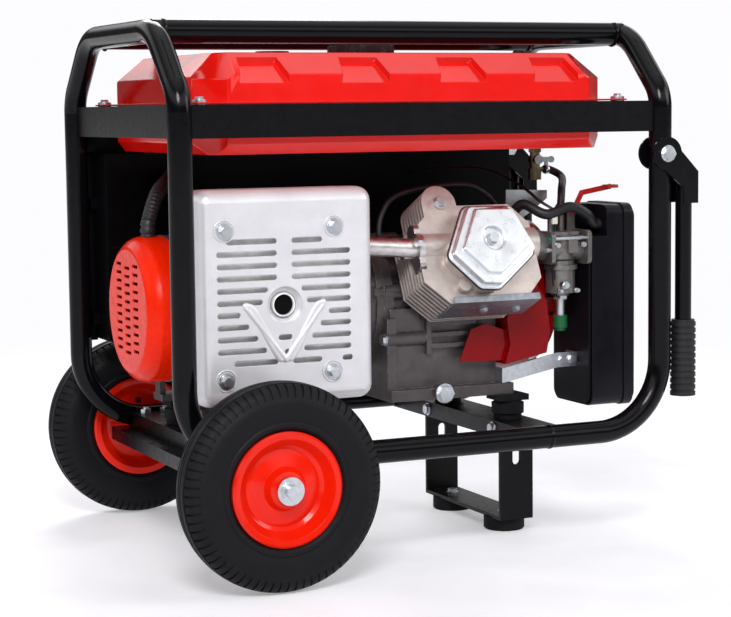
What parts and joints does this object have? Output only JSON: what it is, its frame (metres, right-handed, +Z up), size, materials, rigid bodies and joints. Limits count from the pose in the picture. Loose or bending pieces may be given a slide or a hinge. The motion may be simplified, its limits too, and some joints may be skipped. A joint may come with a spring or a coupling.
{
  "type": "portable generator",
  "caption": "Open-frame portable generator: tube cradle with wheels and fold-down handles, fuel tank on top, slanted engine with muffler shield, alternator and control box.",
  "frame": {"origin": "middle of the footprint on the floor", "axes": "+X along the frame from the alternator to the air cleaner, +Y from the muffler side to the control-panel side, +Z up"},
  "size_m": [0.753, 0.645, 0.687],
  "materials": {
    "frame_black": "gloss",
    "band_black": "satin",
    "tank_red": "gloss",
    "cover_orange_red": "satin",
    "rim_red": "gloss",
    "shroud_red": "gloss",
    "lever_red": "gloss",
    "tyre_black": "matte",
    "rubber_black": "matte",
    "zinc_steel": "satin",
    "bright_cover": "satin",
    "dark_steel": "satin",
    "cast_alloy": "matte",
    "fin_alloy": "matte",
    "silver_shield": "satin",
    "plated_pipe": "satin",
    "copper_wire": "gloss",
    "black_plastic": "satin",
    "panel_plastic": "satin",
    "brass_tap": "satin"
  },
  "bodies": {
    "frame": {"hoop_left": "frame_black", "hoop_right": "frame_black", "top_rails": "frame_black", "tank_bands": "band_black", "cross_members": "frame_black", "axle_beam": "frame_black", "axle_stubs": "zinc_steel", "front_leg": "frame_black", "rubber_feet": "rubber_black", "frame_fasteners": "zinc_steel", "rubber_mounts": "rubber_black", "fuel_tank": "tank_red", "fuel_gauge": "black_plastic", "fuel_cock": "brass_tap", "fuel_hose": "rubber_black", "crankcase": "cast_alloy", "cylinder_barrel": "fin_alloy", "cylinder_head": "fin_alloy", "head_cover": "bright_cover", "deflector_plate": "zinc_steel", "spark_plug_lead": "rubber_black", "exhaust_pipe": "plated_pipe", "muffler": "silver_shield", "heat_shield": "silver_shield", "engine_fasteners": "zinc_steel", "carburettor": "cast_alloy", "throttle_plate": "zinc_steel", "fuel_solenoid": "zinc_steel", "air_cleaner_case": "black_plastic", "air_cleaner_cover": "black_plastic", "breather_hose": "rubber_black", "fan_shroud": "shroud_red", "recoil_cover": "shroud_red", "stator": "dark_steel", "stator_windings": "copper_wire", "alternator_housing": "cast_alloy", "end_bracket": "cast_alloy", "end_cover": "cover_orange_red", "wiring_conduit": "rubber_black", "support_strap": "zinc_steel", "control_box": "band_black", "control_face": "panel_plastic", "panel_fittings": "panel_plastic"},
    "crank": {"crankshaft": "dark_steel", "flywheel": "dark_steel", "rotor": "dark_steel"},
    "wheel_near": {"tyre_near": "tyre_black", "rim_near": "rim_red"},
    "wheel_far": {"tyre_far": "tyre_black", "rim_far": "rim_red"},
    "lift_handle_near": {"handle_near": "frame_black", "grip_near": "rubber_black"},
    "lift_handle_far": {"handle_far": "frame_black", "grip_far": "rubber_black"},
    "filler_cap": {"fuel_cap": "black_plastic"},
    "tap_lever": {"fuel_cock_lever": "lever_red"},
    "choke": {"choke_lever": "lever_red"},
    "starter_grip": {"recoil_handle": "black_plastic"},
    "key": {"key_switch": "zinc_steel"},
    "breaker": {"breaker_lever": "black_plastic"}
  },
  "joints": [
    {"name": "crank_spin", "type": "hinge", "parent": "frame", "child": "crank", "pos_m": [0, 0.014, 0.318], "axis": [1, 0, 0], "continuous": true},
    {"name": "wheel_near_spin", "type": "hinge", "parent": "frame", "child": "wheel_near", "pos_m": [-0.2495, -0.277, 0.127], "axis": [0, 1, 0], "continuous": true},
    {"name": "wheel_far_spin", "type": "hinge", "parent": "frame", "child": "wheel_far", "pos_m": [-0.2495, 0.277, 0.127], "axis": [0, 1, 0], "continuous": true},
    {"name": "handle_near_fold", "type": "hinge", "parent": "frame", "child": "lift_handle_near", "pos_m": [0.3225, -0.217, 0.512], "axis": [0, -1, 0], "range_deg": [0, 90]},
    {"name": "handle_far_fold", "type": "hinge", "parent": "frame", "child": "lift_handle_far", "pos_m": [0.3225, 0.217, 0.512], "axis": [0, -1, 0], "range_deg": [0, 90]},
    {"name": "cap_turn", "type": "hinge", "parent": "frame", "child": "filler_cap", "pos_m": [-0.0115, 0, 0.65], "axis": [0, 0, 1], "range_deg": [0, 90]},
    {"name": "tap_turn", "type": "hinge", "parent": "frame", "child": "tap_lever", "pos_m": [0.2385, -0.03, 0.5025], "axis": [0, 1, 0], "range_deg": [0, 90]},
    {"name": "choke_turn", "type": "hinge", "parent": "frame", "child": "choke", "pos_m": [0.2565, -0.104, 0.436], "axis": [0, -1, 0], "range_deg": [0, 35]},
    {"name": "starter_pull", "type": "slide", "parent": "frame", "child": "starter_grip", "axis": [1, 0, 0], "range_m": [0, 0.6], "stiffness_N_per_m": 30, "springref_m": -0.1},
    {"name": "key_turn", "type": "hinge", "parent": "frame", "child": "key", "pos_m": [-0.2615, 0.222, 0.4575], "axis": [0, 1, 0], "range_deg": [0, 90]},
    {"name": "breaker_rock", "type": "hinge", "parent": "frame", "child": "breaker", "pos_m": [-0.1815, 0.222, 0.4575], "axis": [1, 0, 0], "range_deg": [-28, 0]}
  ]
}
